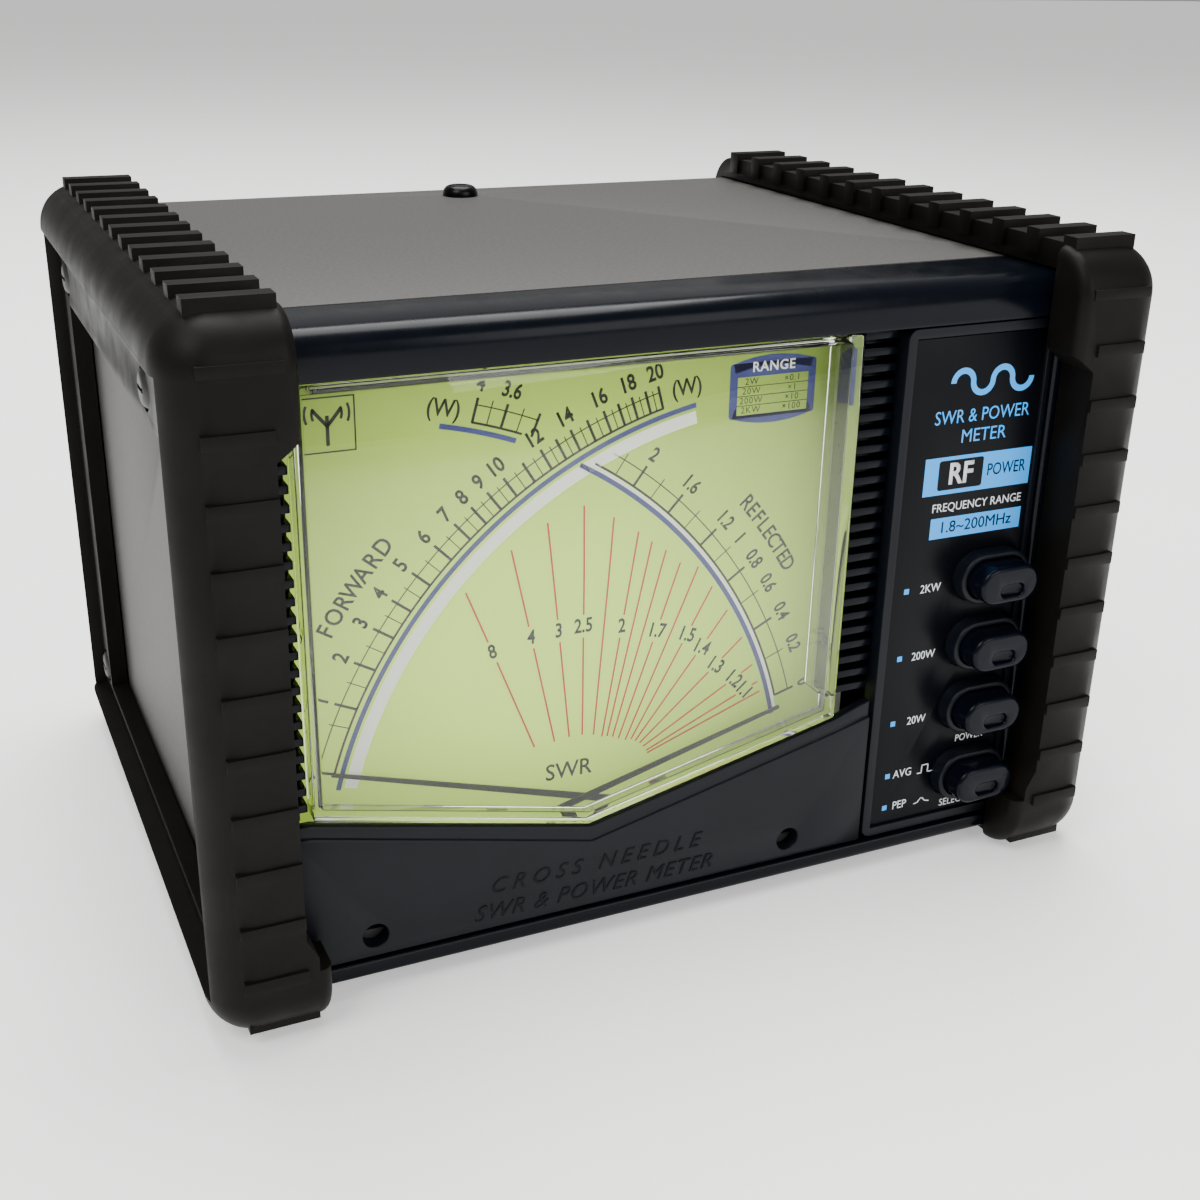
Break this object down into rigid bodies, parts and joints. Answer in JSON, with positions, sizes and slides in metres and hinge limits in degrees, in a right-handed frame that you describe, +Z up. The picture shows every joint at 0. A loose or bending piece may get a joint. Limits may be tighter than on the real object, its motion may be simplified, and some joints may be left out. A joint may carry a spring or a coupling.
{
  "type": "swr meter",
  "caption": "Bench SWR and power meter: cross-needle dial behind a clear five-sided cover, push buttons at the right, grey case between ribbed rubber side bumpers, coaxial sockets at the rear.",
  "frame": {"origin": "centre of the whole box on the surface it stands on, rear sockets included", "axes": "+Z up, the dial and buttons face -Y, +X to the right seen from the front"},
  "size_m": [0.148, 0.13, 0.1027],
  "materials": {
    "alloy": "cast",
    "black_plastic": "matte",
    "board": "satin",
    "brass": "satin",
    "bumper": "satin",
    "cap_blue": "gloss",
    "case_paint": "fine texture",
    "clear": "clear",
    "copper": "satin",
    "dial": "printed, backlit",
    "frame_blue": "gloss",
    "label": "printed",
    "lead": "satin",
    "led": "gloss",
    "needle_black": "matte",
    "nickel": "satin",
    "screw_black": "gloss",
    "screw_steel": "satin",
    "steel": "satin",
    "white_plastic": "matte",
    "zinc": "satin"
  },
  "bodies": {
    "case": {"antenna_socket": "nickel", "base_tray": "case_paint", "board_parts": "black_plastic", "board_screws": "screw_steel", "board_standoffs": "zinc", "bumper_left": "bumper", "bumper_right": "bumper", "bumper_screws_left": "screw_black", "bumper_screws_right": "screw_black", "button_panel": "frame_blue", "clear_cover": "clear", "coupler_box": "alloy", "coupler_line": "brass", "dial_lamps": "led", "dial_plate": "dial", "forward_bearing_bridge": "brass", "forward_magnet_core": "steel", "forward_magnet_yoke": "steel", "front_bezel": "frame_blue", "inner_leads": "lead", "label_plate": "label", "lamp_socket": "black_plastic", "lamp_socket_nut": "nickel", "led_board": "board", "light_box": "white_plastic", "main_board": "board", "meter_fascia": "frame_blue", "meter_leads": "lead", "meter_tray": "white_plastic", "panel_lugs": "zinc", "range_switch_bank": "black_plastic", "range_trimmers": "white_plastic", "rear_panel": "case_paint", "rear_panel_screws": "screw_black", "reflected_bearing_bridge": "brass", "reflected_magnet_core": "steel", "reflected_magnet_yoke": "steel", "rib_strip_left": "frame_blue", "rib_strip_right": "frame_blue", "selector_switch": "black_plastic", "sensing_board": "board", "socket_contacts": "brass", "socket_insulators": "white_plastic", "socket_screws": "screw_steel", "switch_board": "board", "switch_board_screws": "screw_steel", "switch_pillars": "zinc", "top_cover": "case_paint", "top_screw": "screw_black", "transmitter_socket": "nickel"},
    "forward_movement": {"forward_needle": "needle_black", "forward_moving_coil": "copper"},
    "reflected_movement": {"reflected_needle": "needle_black", "reflected_moving_coil": "copper"},
    "forward_zero": {"forward_zero_screw": "black_plastic"},
    "reflected_zero": {"reflected_zero_screw": "black_plastic"},
    "range_button_upper": {"button_upper": "cap_blue"},
    "range_button_middle": {"button_middle": "cap_blue"},
    "range_button_lower": {"button_lower": "cap_blue"},
    "selector_button": {"button_selector": "cap_blue"}
  },
  "joints": [
    {"name": "forward_needle_swing", "type": "hinge", "parent": "case", "child": "forward_movement", "pos_m": [0.0175, -0.0456, 0.0099], "axis": [0, 1, 0], "range_deg": [0, 64], "stiffness_Nm_per_rad": 0.00002},
    {"name": "reflected_needle_swing", "type": "hinge", "parent": "case", "child": "reflected_movement", "pos_m": [-0.0493, -0.0456, 0.0099], "axis": [0, -1, 0], "range_deg": [0, 64], "stiffness_Nm_per_rad": 0.00002},
    {"name": "forward_zero_turn", "type": "hinge", "parent": "case", "child": "forward_zero", "pos_m": [0.019, -0.055, 0.0092], "axis": [0, 1, 0], "range_deg": [-40, 40]},
    {"name": "reflected_zero_turn", "type": "hinge", "parent": "case", "child": "reflected_zero", "pos_m": [-0.0492, -0.055, 0.0092], "axis": [0, 1, 0], "range_deg": [-40, 40]},
    {"name": "range_button_upper_press", "type": "slide", "parent": "case", "child": "range_button_upper", "axis": [0, 1, 0], "range_m": [0, 0.003], "stiffness_N_per_m": 300},
    {"name": "range_button_middle_press", "type": "slide", "parent": "case", "child": "range_button_middle", "axis": [0, 1, 0], "range_m": [0, 0.003], "stiffness_N_per_m": 300},
    {"name": "range_button_lower_press", "type": "slide", "parent": "case", "child": "range_button_lower", "axis": [0, 1, 0], "range_m": [0, 0.003], "stiffness_N_per_m": 300},
    {"name": "selector_button_press", "type": "slide", "parent": "case", "child": "selector_button", "axis": [0, 1, 0], "range_m": [0, 0.003], "stiffness_N_per_m": 300}
  ]
}
